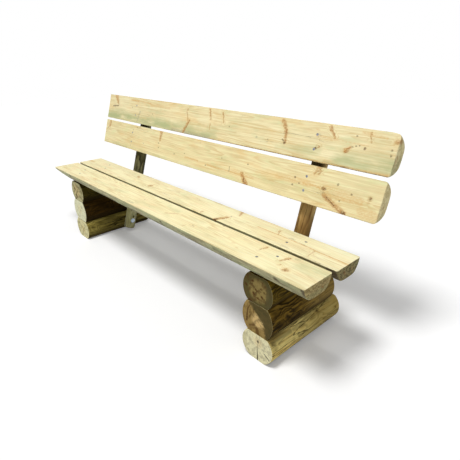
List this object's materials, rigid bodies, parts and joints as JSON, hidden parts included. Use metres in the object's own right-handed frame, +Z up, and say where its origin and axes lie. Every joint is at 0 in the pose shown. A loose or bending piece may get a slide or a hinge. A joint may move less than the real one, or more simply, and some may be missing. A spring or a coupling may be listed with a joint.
{
  "type": "log bench",
  "caption": "Rustic garden bench with half-log seat planks on stacks of flatted logs, and leaning round posts that carry a half-log plank backrest.",
  "frame": {"origin": "on the ground, in the middle of the overall length and depth", "axes": "+X along the bench to the right as seen from the front, +Y to the back, +Z up; the sitter looks along -Y"},
  "size_m": [2.016, 0.571, 0.8456],
  "materials": {
    "seat_wood": "sawn and planed pressure-treated softwood, matt",
    "rail_wood": "sawn and planed pressure-treated softwood, matt",
    "log_wood": "peeled pressure-treated softwood log, matt",
    "post_wood": "peeled and machine-rounded softwood pole, matt",
    "screw_steel": "dull galvanised",
    "zinc_steel": "zinc plated",
    "pin_steel": "plain mild steel"
  },
  "bodies": {
    "root": {"seat_plank_front": "seat_wood", "seat_screws_front_left": "screw_steel", "seat_screws_front_right": "screw_steel", "seat_plank_rear": "seat_wood", "seat_screws_rear_left": "screw_steel", "seat_screws_rear_right": "screw_steel", "back_rail_lower": "rail_wood", "rail_screws_lower_left": "screw_steel", "rail_screws_lower_right": "screw_steel", "back_rail_upper": "rail_wood", "rail_screws_upper_left": "screw_steel", "rail_screws_upper_right": "screw_steel", "post_left": "post_wood", "post_screws_left": "zinc_steel", "post_washers_left": "zinc_steel", "stack_pins_left": "pin_steel", "log_left_bottom": "log_wood", "log_left_middle": "log_wood", "log_left_top": "log_wood", "post_right": "post_wood", "post_screws_right": "zinc_steel", "post_washers_right": "zinc_steel", "stack_pins_right": "pin_steel", "log_right_bottom": "log_wood", "log_right_middle": "log_wood", "log_right_top": "log_wood"}
  },
  "joints": []
}
